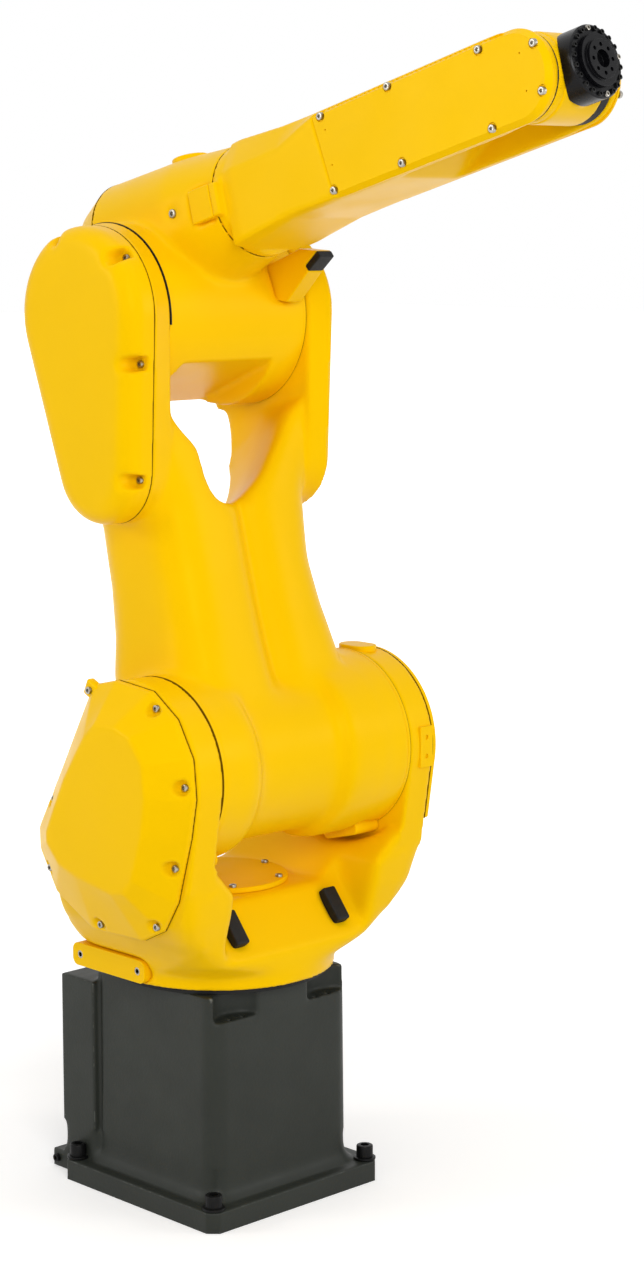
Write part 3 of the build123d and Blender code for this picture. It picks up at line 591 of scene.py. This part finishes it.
class ROBOT_OT_pedestal(bpy.types.Operator):
    """Cast pedestal with its rear panel, seal, floor bolts and washers"""

    bl_idname = "robot.pedestal"
    bl_label = "Pedestal"

    def execute(self, context):
        low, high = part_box("base_casting")
        plate = self.bolt_pattern()["pos_m"][2]
        ground_reach, skirt_low, skirt_high = 0.003, plate + 0.002, plate + 0.045

        def off_skirt(co):
            return not skirt_low < co.z < skirt_high

        grounded = near_plane(WORLD, Z, (low.z,), ground_reach)
        cast_skin("base_casting", "base", grey_paint(), sizes().base_voxel,
                  ((3, grounded), (70, off_skirt)), self.ledge_holes(high.z))
        trim_piece("base_rear_panel", "base", panel_paint(), sizes().edge)
        trim_piece("base_seal", "base", black_rubber(), sizes().edge)
        self.floor_bolts()
        self.small_screws()
        return {"FINISHED"}

    def bolt_pattern(self):
        """The record's mount for the floor bolts."""
        return next(m for m in frame["record"]["mounts"] if m["name"] == "base_bolts")

    def ledge_holes(self, top):
        """Cutters for the small tapped holes in the front notches' ledges."""
        forward, across = 0.1215, (0.094, 0.070)
        radius, deep, clear, sides = 0.0036, 0.06, 0.02, 16
        return [rod(Vector((forward, side * y, top)), UP, radius, -deep, clear, sides)
                for side in (-1, 1) for y in across]

    def floor_bolts(self):
        """Knurled socket-head bolts on washers at the plate's corners."""
        thick, edge, sides, knurl = 0.0035, 0.0008, 36, 0.035
        mount = self.bolt_pattern()
        half = mount["dims"]["spacing_x_mm"] / 2 * MM
        top = mount["pos_m"][2]
        corners = [Vector((sx * half, sy * half, top)) for sx in (-1, 1) for sy in (-1, 1)]
        screw_set("floor_bolts", "base", [(c + UP * thick, UP) for c in corners], sizes().bolt_head,
                  sizes().bolt_height, black_steel(), knurl)
        washers = [disc(c, UP, sizes().washer, 0, thick, sides, edge) for c in corners]
        new_piece("floor_washers", joined(washers), "base", black_steel())

    def small_screws(self):
        """Screws at the rear panel's corners and on the rear tongue's side."""
        low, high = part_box("base_rear_panel")
        inset = 0.011
        places = [(Vector((low.x, y, z)), BACK) for y in (low.y + inset, high.y - inset)
                  for z in (low.z + inset, high.z - inset)]
        screw_set("rear_panel_screws", "base", places)
        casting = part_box("base_casting")[0]
        tongue = Vector((casting.x + 0.012, -0.140, 0.014))
        screw_set("tongue_screw", "base", [(tongue, RIGHT)], head=0.006, height=0.005,
                  material=black_steel())


class ROBOT_OT_turntable(bpy.types.Operator):
    """Turntable casting with its yoke, cap, bumpers and side lug"""

    bl_idname = "robot.turntable"
    bl_label = "Turntable"

    def execute(self, context):
        low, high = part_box("turntable_column")
        foot_reach, foot_edge, rubber_edge, soft_edge = 0.008, 0.002, 0.0035, sizes().edge * 1.5
        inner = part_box("lower_arm_casting")[1].y + RUNNING_GAP
        seams = any_of(near_plane(WORLD, Y, (-inner, inner, low.y, high.y), SEAM_REACH),
                       near_plane(WORLD, Z, (low.z,), foot_reach))
        foot = near_plane(WORLD, Z, (low.z,), foot_edge)
        cast_skin("turntable_column", "turntable", yellow_paint(), sizes().cast_voxel,
                  ((34, seams), (2, foot)))
        trim_piece("turntable_cap", "turntable", deck_paint(), soft_edge)
        for node in ("turntable_back", "shoulder_pad", "shoulder_boss"):
            trim_piece(node, "turntable", yellow_paint(), soft_edge)
        trim_piece("side_lug", "turntable", yellow_paint(), COVER_EDGE)
        for node in ("front_bumper_right", "front_bumper_left"):
            trim_piece(node, "turntable", black_rubber(), rubber_edge, segments=3)
        self.cap_screws()
        self.lug_inserts()
        return {"FINISHED"}

    def cap_screws(self):
        """Small screws round the deck's cap."""
        low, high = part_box("turntable_cap")
        inset, count = 0.009, 6
        step = 360 / count
        edge = (high.x - low.x) / 2 - inset
        turns = [math.radians(step * k - step / 2) for k in range(count)]
        places = [(Vector((edge * math.cos(a), edge * math.sin(a), high.z - SUNK)), UP) for a in turns]
        screw_set("cap_screws", "turntable", places, head=0.0052, height=0.0042)

    def lug_inserts(self):
        """Bright threaded sleeves in the side lug's two holes."""
        low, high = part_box("side_lug")
        inset, hole, deep, shy = 0.016, 0.0055, 0.018, 0.0008
        bore = hole * 0.62
        height = low.z + (high.z - low.z) / 2
        sleeves = [ring(Vector((x, low.y, height)), RIGHT, bore, hole, -deep, -shy)
                   for x in (low.x + inset, high.x - inset)]
        new_piece("lug_inserts", joined(sleeves), "turntable", zinc_plate())


class ROBOT_OT_shoulder_covers(bpy.types.Operator):
    """Motor cover and gear cover of the shoulder with their screws"""

    bl_idname = "robot.shoulder_covers"
    bl_label = "Shoulder covers"

    def execute(self, context):
        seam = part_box("shoulder_motor_cover")[1].y
        flange, clear = 0.0085, 0.09
        places = moved_to(seam - flange, points_on(SHOULDER, 0, SHOULDER_COVER_SCREWS))
        pockets = [rod(p, RIGHT, sizes().pocket, 0, clear) for p in places]
        cast_skin("shoulder_motor_cover", "turntable", yellow_paint(), sizes().cover_voxel,
                  ((5, near_plane(WORLD, Y, (seam,), RIM_REACH)),), pockets)
        cover_seam_shade("shoulder_motor_cover", "turntable", Vector((0, seam, 0)), RIGHT)
        places.append(self.ear(seam))
        screw_set("shoulder_motor_screws", "turntable", [(p, RIGHT) for p in places])
        trim_piece("shoulder_gear_cover", "turntable", yellow_paint(), COVER_EDGE,
                   segments=3)
        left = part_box("shoulder_gear_cover")
        cover_seam_shade("shoulder_gear_cover", "turntable", Vector((0, left[0].y, 0)), LEFT)
        places = moved_to(left[1].y - SUNK, points_on(SHOULDER, 0, SHOULDER_GEAR_SCREWS))
        screw_set("shoulder_gear_screws", "turntable", [(p, LEFT) for p in places])
        return {"FINISHED"}

    def ear(self, seam):
        """A small ear at the cover's top rear corner. Gives the place of its screw."""
        long, thick, tall, edge, tilt = 0.025, 0.013, 0.024, 0.004, 24
        place = moved_to(seam, points_on(SHOULDER, 0, (SHOULDER_EAR,)))[0]
        bm = bmesh.new()
        matrix = Matrix.Translation(place + RIGHT * thick / 2) @ Matrix.Rotation(math.radians(tilt), 4, "Y")
        bmesh.ops.create_cube(bm, size=1, matrix=matrix @ Matrix.Diagonal((long, thick, tall, 1)))
        round_edges(bm, list(bm.edges), edge, segments=4)
        new_piece("shoulder_cover_ear", bm, "turntable", yellow_paint(), smooth=60)
        return place + RIGHT * (thick - SUNK)


class ROBOT_OT_lower_arm(bpy.types.Operator):
    """Lower arm casting with its stops and elbow covers"""

    bl_idname = "robot.lower_arm"
    bl_label = "Lower arm"

    def execute(self, context):
        low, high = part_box("lower_arm_casting")
        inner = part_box("elbow_casting")[1].y + RUNNING_GAP
        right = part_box("elbow_motor_cover")[1].y
        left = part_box("elbow_gear_cover")[0].y
        seams = near_plane(WORLD, Y, (low.y, high.y, -inner, inner, right, left), SEAM_REACH)
        cast_skin("lower_arm_casting", "lower_arm", yellow_paint(), sizes().arm_voxel,
                  ((40, seams), (2, None)))
        for node in ("arm_stop_right", "arm_stop_left", "arm_boss"):
            trim_piece(node, "lower_arm", yellow_paint(), COVER_EDGE, segments=3)
        drum, radius = (high.y - low.y) / 2, 0.1295
        # Rings of painted shade at the shoulder's turning seams.
        for name, side in (("shoulder_seam_shade_right", RIGHT), ("shoulder_seam_shade_left", LEFT)):
            seam_shade_lip(name, "lower_arm", SHOULDER_AXIS + side * (drum - sizes().seal), side, radius)
        self.rim_shade_line(inner)
        self.motor_cover(right)
        self.gear_cover(left)
        return {"FINISHED"}

    def rim_shade_line(self, inner):
        """A thin black ring of painted shade round the right prong's rim, where the elbow turns."""
        low, high, wide = 0.1279, 0.1307, 0.0018
        start = math.radians(16.7)
        elbow = Vector((0, 0, (ELBOW_AXIS - SHOULDER_AXIS).length))
        turn = Matrix.Rotation(start, 4, "Y")
        section = ((low, -inner), (high, -inner), (high, wide - inner), (low, wide - inner))
        bm = bmesh.new()
        geom = looped(bm, [ARM @ (elbow + turn @ Vector((r, y, 0))) for r, y in section])
        bmesh.ops.spin(bm, geom=geom, cent=ELBOW_AXIS, axis=RIGHT, angle=math.pi + 2 * start, steps=90)
        bmesh.ops.holes_fill(bm, edges=[e for e in bm.edges if e.is_boundary])
        bmesh.ops.recalc_face_normals(bm, faces=bm.faces)
        # Painted shade in the rubber finish's black, where the gap between rim and hub is in shade.
        new_piece("elbow_rim_shade", bm, "lower_arm", black_rubber())

    def motor_cover(self, seam):
        """The deep motor cover with screws in pockets that open to its side."""
        flange, wall, clear, pocket = 0.0095, 0.022, 0.08, sizes().pocket * 0.9
        round_from = seam - wall

        def beside_seam(co):
            return co.y > round_from

        places = moved_to(seam - flange, points_on(ARM, 0, ELBOW_COVER_SCREWS))
        pockets = [rod(place + self.outward(place) * step, RIGHT, pocket, 0, clear)
                   for place in places for step in (0, 0.006, 0.012)]
        cast_skin("elbow_motor_cover", "lower_arm", yellow_paint(), sizes().cover_voxel,
                  ((30, beside_seam), (4, near_plane(WORLD, Y, (seam,), RIM_REACH))), pockets)
        cover_seam_shade("elbow_motor_cover", "lower_arm", Vector((0, seam, 0)), RIGHT)
        screw_set("elbow_motor_screws", "lower_arm", [(p, RIGHT) for p in places])

    def outward(self, place):
        """The way from the elbow cover's spine to a place near its rim."""
        high, low = points_on(ARM, 0, ELBOW_COVER_SPINE)
        at = Vector((place.x, 0, place.z))
        share = min(1, max(0, (at - high).dot(low - high) / (low - high).length_squared))
        return (at - high.lerp(low, share)).normalized()

    def gear_cover(self, seam):
        """The thin gear cover opposite."""
        trim_piece("elbow_gear_cover", "lower_arm", yellow_paint(), COVER_EDGE, segments=3)
        cover_seam_shade("elbow_gear_cover", "lower_arm", Vector((0, seam, 0)), LEFT)
        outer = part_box("elbow_gear_cover")[1].y
        places = moved_to(outer - SUNK, points_on(ARM, 0, ELBOW_GEAR_SCREWS))
        screw_set("elbow_gear_screws", "lower_arm", [(p, LEFT) for p in places])


class ROBOT_OT_elbow(bpy.types.Operator):
    """Elbow casting with its rear cover, step block, bracket and bumper"""

    bl_idname = "robot.elbow"
    bl_label = "Elbow"

    def execute(self, context):
        low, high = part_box("elbow_casting")
        rear_seam = -0.056
        self.casting(low, high, rear_seam)
        self.rear_cover(rear_seam)
        for node in ("elbow_side_block", "elbow_bracket"):
            trim_piece(node, "elbow", yellow_paint(), BLOCK_EDGE, segments=3)
        trim_piece("elbow_bumper", "elbow", black_rubber(), BLOCK_EDGE, segments=3)
        drum, elbow_radius, roll_radius = (high.y - low.y) / 2, 0.1273, 0.0775
        # Rings of painted shade at the elbow's turning seams.
        for name, way in (("elbow_seam_shade_right", RIGHT), ("elbow_seam_shade_left", LEFT)):
            seam_shade_lip(name, "elbow", ELBOW_AXIS + way * (drum - sizes().seal), way, elbow_radius)
        self.trunk_cap()
        # A ring of painted shade at the forearm roll's seam.
        along = axis_on(FOREARM, (1, 0, 0))
        seam_shade_lip("roll_seam_shade", "elbow", ROLL_POINT - along * (sizes().seal + RUNNING_GAP), along, roll_radius)
        return {"FINISHED"}

    def casting(self, low, high, rear_seam):
        """The hub and trunk, with a screw in a pocket on the right."""
        milled, seat, clear = -0.055, -0.0785, 0.03

        def under(co):
            return (FOREARM_BACK @ co).z < milled

        seams = any_of(near_plane(WORLD, Y, (low.y, high.y), SEAM_REACH),
                       near_plane(FOREARM_BACK, X, (ROLL.x, rear_seam), SEAM_REACH))
        side = axis_on(FOREARM, (0, -1, 0))
        x, z = TRUNK_SCREW
        place = FOREARM @ Vector((x * MM, seat, z * MM))
        cast_skin("elbow_casting", "elbow", yellow_paint(), sizes().cast_voxel,
                  ((24, any_of(seams, under)), (3, seams)), [rod(place, side, sizes().pocket, 0, clear)])
        screw_set("elbow_side_screw", "elbow", [(place, side)], head=0.0062, height=0.0055)

    def rear_cover(self, seam):
        """The rounded cover behind the hub."""
        cast_skin("elbow_rear_cover", "elbow", yellow_paint(), sizes().cover_voxel,
                  ((24, near_plane(FOREARM_BACK, X, (seam,), RIM_REACH)), (1, None)))
        cover_seam_shade("elbow_rear_cover", "elbow", FOREARM @ Vector((seam, 0, 0)), axis_on(FOREARM, (-1, 0, 0)))

    def trunk_cap(self):
        """A low round cap on top of the trunk."""
        radius, deep, proud, sides, edge = 0.026, 0.012, 0.0045, 48, 0.0025
        place = FOREARM @ Vector((0.084, 0, 0.200))
        bm = disc(place, axis_on(FOREARM, (0, 0, 1)), radius, -deep, proud, sides, edge, segments=3)
        new_piece("trunk_cap", bm, "elbow", yellow_paint())


class ROBOT_OT_forearm(bpy.types.Operator):
    """Forearm casting with its side covers and screws"""

    bl_idname = "robot.forearm"
    bl_label = "Forearm"

    def execute(self, context):
        seams = near_plane(FOREARM_BACK, X, (ROLL.x + RUNNING_GAP,), RIM_REACH)
        cast_skin("forearm_casting", "forearm", yellow_paint(), sizes().cover_voxel,
                  ((8, seams), (1, None)))
        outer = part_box("forearm_cover_left")[1].y
        for side, node in ((-1, "forearm_cover_right"), (1, "forearm_cover_left")):
            self.cover(side, node, outer)
        return {"FINISHED"}

    def lapped(self, side, node, outer):
        """A space and scale that lap a cover a little over the casting's rounded edges."""
        sink, lap = 0.003, 0.0022
        low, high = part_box(node)
        thick = high.y - low.y
        heights = [(FOREARM_BACK @ v.co).z for v in frame["nodes"][node].data.vertices]
        bottom, top = min(heights), max(heights)
        space = Matrix.Translation((0, -side * outer, -(bottom + top) / 2)) @ FOREARM_BACK
        return space, (1, (thick + sink) / thick, (top - bottom + 2 * lap) / (top - bottom))

    def cover(self, side, node, outer):
        """One side cover, with a shallow seat under each screw and small pin holes."""
        seat, depth, pin, pin_depth, clear, edge = 0.0076, 0.0022, 0.0013, 0.004, 0.004, 0.0011
        out = Vector((0, side, 0))
        places = points_on(FOREARM, side * outer / MM, FOREARM_SCREWS)
        pins = points_on(FOREARM, side * outer / MM, FOREARM_PINS)
        seats = [rod(p, out, seat, -depth, clear) for p in places]
        seats += [rod(p, out, pin, -pin_depth, clear, sides=12) for p in pins]
        trim_piece(node, "forearm", yellow_paint(), edge, seats,
                   grown=self.lapped(side, node, outer))
        screw_set(node + "_screws", "forearm", [(p - out * depth, out) for p in places])


class ROBOT_OT_wrist(bpy.types.Operator):
    """Wrist knuckle with its seals, housing and ring of screws"""

    bl_idname = "robot.wrist"
    bl_label = "Wrist"

    def execute(self, context):
        seal_edge, housing_edge = 0.0008, 0.0006
        cast_skin("wrist_knuckle", "wrist", yellow_paint(), sizes().fine_voxel, ((8, None),))
        trim_piece("wrist_seal_left", "wrist", black_rubber(), seal_edge)
        self.right_seal()
        trim_piece("wrist_housing", "wrist", black_finish(), housing_edge)
        self.ring_screws()
        return {"FINISHED"}

    def ring_screws(self):
        """A ring of small black screws round the flange, a few of them plated instead."""
        radius, count, plated, sunk, head, height = 0.0405, 20, (0, 5, 15), 0.001, 0.0034, 0.0040
        out = axis_on(FOREARM, (1, 0, 0))
        black, bright = [], []
        for k in range(count):
            turn = math.tau * (k + 0.5) / count
            place = Vector((FLANGE.x - sunk, radius * math.cos(turn), ROLL.z + radius * math.sin(turn)))
            kind = bright if k in plated else black
            kind.append((FOREARM @ place, out))
        screw_set("wrist_ring_screws", "wrist", black, head, height, black_steel())
        screw_set("wrist_plated_screws", "wrist", bright, head, height)

    def right_seal(self):
        """The right seal shows as a thin lip, with a painted collar between it and the knuckle."""
        low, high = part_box("wrist_seal_right")
        thin = 0.0004
        share = thin / (high.y - low.y)
        lip = self.squeezed_seal(share, low.y)
        piece = new_piece("wrist_seal_right_lip", lip, "wrist", black_rubber())
        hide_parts("wrist_seal_right")
        collar = self.squeezed_seal(1 - share, high.y)
        new_piece("wrist_collar_right", collar, "wrist", yellow_paint())

    def squeezed_seal(self, share, kept):
        """The right seal's mesh, squeezed across towards a face that keeps its place."""
        bm = node_copy("wrist_seal_right")
        bmesh.ops.scale(bm, vec=(1, share, 1), verts=bm.verts, space=Matrix.Translation((0, -kept, 0)))
        return bm


class ROBOT_OT_flange(bpy.types.Operator):
    """Tool flange"""

    bl_idname = "robot.flange"
    bl_label = "Tool flange"

    def execute(self, context):
        edge = 0.0005
        trim_piece("tool_flange", "flange", black_finish(), edge)
        return {"FINISHED"}


class ROBOT_OT_stage(bpy.types.Operator):
    """Pale floor, soft studio lights and the camera"""

    bl_idname = "robot.stage"
    bl_label = "Studio"

    def execute(self, context):
        self.floor()
        self.world()
        self.lamps()
        self.camera()
        context.scene.view_settings.view_transform = "Standard"
        return {"FINISHED"}

    def floor(self):
        """A wide floor that keeps the arm's shadow and fades to white away from it."""
        bm = bmesh.new()
        bmesh.ops.create_grid(bm, x_segments=1, y_segments=1, size=30)
        floor = object_of("floor", bm)
        material = bpy.data.materials.new("floor_white")
        material.use_nodes = True
        nodes, links = material.node_tree.nodes, material.node_tree.links
        shader = nodes["Principled BSDF"]
        set_inputs(shader, {"Base Color": (0.86, 0.86, 0.86, 1), "Roughness": 0.9, "Specular IOR Level": 0.1,
                            "Emission Color": (1, 1, 1, 1)})
        where = nodes.new("ShaderNodeTexCoord")
        away = nodes.new("ShaderNodeVectorMath")
        away.operation = "LENGTH"
        links.new(where.outputs["Object"], away.inputs[0])
        fade = nodes.new("ShaderNodeMapRange")
        set_inputs(fade, {"From Min": 0.6, "From Max": 2.4, "To Min": 0.36, "To Max": 1.0})
        links.new(away.outputs["Value"], fade.inputs["Value"])
        shown = nodes.new("ShaderNodeMath")
        shown.operation = "MULTIPLY"
        links.new(fade.outputs["Result"], shown.inputs[0])
        links.new(self.seen(nodes, links), shown.inputs[1])
        links.new(shown.outputs["Value"], shader.inputs["Emission Strength"])
        floor.data.materials.append(material)

    def seen(self, nodes, links):
        """One for rays that show the backdrop, and none for rays that light the object."""
        path = nodes.new("ShaderNodeLightPath")
        total = path.outputs["Is Camera Ray"]
        for name in ("Is Glossy Ray", "Is Transmission Ray"):
            add = nodes.new("ShaderNodeMath")
            add.operation = "MAXIMUM"
            links.new(total, add.inputs[0])
            links.new(path.outputs[name], add.inputs[1])
            total = add.outputs["Value"]
        return total

    def world(self):
        """A world that shows white and lights the object less."""
        world = bpy.data.worlds.new("studio")
        bpy.context.scene.world = world
        world.use_nodes = True
        nodes, links = world.node_tree.nodes, world.node_tree.links
        back = nodes["Background"]
        set_inputs(back, {"Color": (1, 1, 1, 1)})
        level = nodes.new("ShaderNodeMapRange")
        set_inputs(level, {"To Min": 0.52, "To Max": 1.0})
        links.new(self.seen(nodes, links), level.inputs["Value"])
        links.new(level.outputs["Result"], back.inputs["Strength"])

    def lamps(self):
        """Softboxes that face the arm's middle: a name, a place from there, a size and a power."""
        lo, hi = CAD_BOX
        centre = (lo + hi) / 2
        for name, place, size, power in (
            ("left_softbox", (-2.2, -3.0, 1.2), 1.2, 26),
            ("front_softbox", (3.2, -2.2, 1.7), 1.6, 70),
            ("right_softbox", (3.0, 2.4, 1.2), 1.2, 22),
            ("top_softbox", (0.2, -0.3, 3.4), 1.6, 14),
        ):
            light = bpy.data.lights.new(name, "AREA")
            light.shape = "SQUARE"
            light.size = size
            light.energy = power
            lamp = bpy.data.objects.new(name, light)
            lamp.location = centre + Vector(place)
            lamp.rotation_euler = (centre - lamp.location).to_track_quat("-Z", "Y").to_euler()
            bpy.context.scene.collection.objects.link(lamp)

    def camera(self):
        """The photograph's camera, as solved from it."""
        data = bpy.data.cameras.new("camera")
        data.lens = 76.82
        data.sensor_width = 36
        data.clip_end = 100
        camera = bpy.data.objects.new("camera", data)
        camera.location = (2.79899, -2.51960, 1.36888)
        forward = Vector((-0.70860, 0.68932, -0.15077))
        camera.rotation_euler = forward.to_track_quat("-Z", "Y").to_euler()
        bpy.context.scene.collection.objects.link(camera)
        bpy.context.scene.camera = camera


class ROBOT_PT_panel(bpy.types.Panel):
    """Lists the steps that dress the arm"""

    bl_idname = "ROBOT_PT_panel"
    bl_label = "Robot Arm"
    bl_space_type = "VIEW_3D"
    bl_region_type = "UI"
    bl_category = "Robot Arm"

    def draw(self, context):
        for step in STEPS:
            self.layout.operator(step.bl_idname)
        for group in (context.scene.robot_sizes, context.scene.robot_paints):
            for name in group.__annotations__:
                self.layout.prop(group, name)


STEPS = (ROBOT_OT_pedestal, ROBOT_OT_turntable, ROBOT_OT_shoulder_covers, ROBOT_OT_lower_arm, ROBOT_OT_elbow,
         ROBOT_OT_forearm, ROBOT_OT_wrist, ROBOT_OT_flange, ROBOT_OT_stage)
CLASSES = (RobotSizes, RobotPaints, *STEPS, ROBOT_PT_panel)


def register():
    """Make the classes and the scene's sizes and colours known to Blender."""
    for item in CLASSES:
        bpy.utils.register_class(item)
    bpy.types.Scene.robot_sizes = bpy.props.PointerProperty(type=RobotSizes)
    bpy.types.Scene.robot_paints = bpy.props.PointerProperty(type=RobotPaints)


def unregister():
    """Take back what register did."""
    del bpy.types.Scene.robot_paints
    del bpy.types.Scene.robot_sizes
    for item in reversed(CLASSES):
        bpy.utils.unregister_class(item)


def main():
    """Dress the arm."""
    register()
    bpy.ops.robot.pedestal()
    bpy.ops.robot.turntable()
    bpy.ops.robot.shoulder_covers()
    bpy.ops.robot.lower_arm()
    bpy.ops.robot.elbow()
    bpy.ops.robot.forearm()
    bpy.ops.robot.wrist()
    bpy.ops.robot.flange()
    bpy.ops.robot.stage()


if __name__ == "__main__":
    main()
